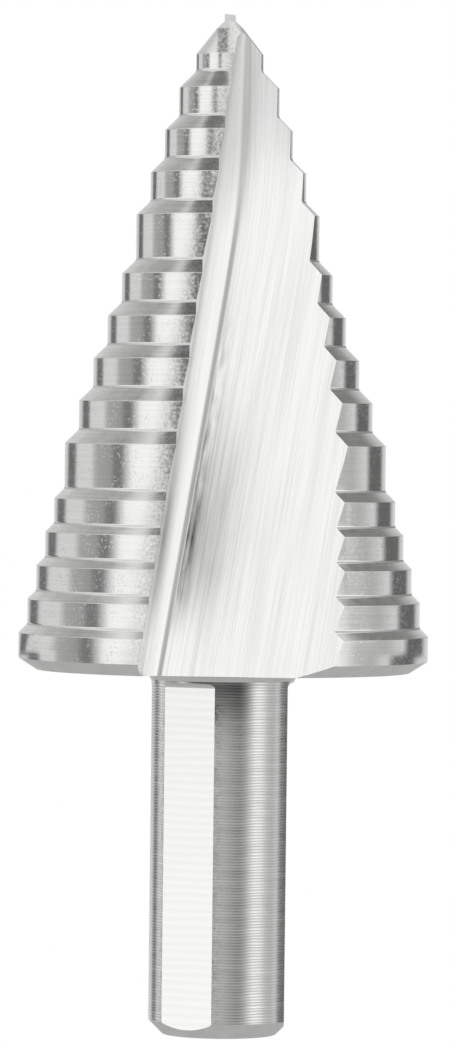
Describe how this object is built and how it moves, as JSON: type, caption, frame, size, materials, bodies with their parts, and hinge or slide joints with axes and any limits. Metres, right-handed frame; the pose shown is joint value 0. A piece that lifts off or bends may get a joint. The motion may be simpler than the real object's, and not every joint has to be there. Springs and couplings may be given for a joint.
{
  "type": "step drill",
  "caption": "Conical step drill with two flutes, stepped cutting lands that widen towards a round shank with three flats, and a small centring nib.",
  "frame": {"origin": "centre of the shank's flat end face, which the drill stands on", "axes": "+Z along the drill's axis from the shank to the point; -Y faces the front flute, with its cutting edge on the -X side; one shank flat faces +X"},
  "size_m": [0.0286, 0.0264, 0.0712],
  "materials": {
    "ground_steel": "bright ground high-speed steel, with grinding lines along the flutes and turning marks round the shank"
  },
  "bodies": {
    "root": {"step_drill": "ground_steel"}
  },
  "joints": []
}
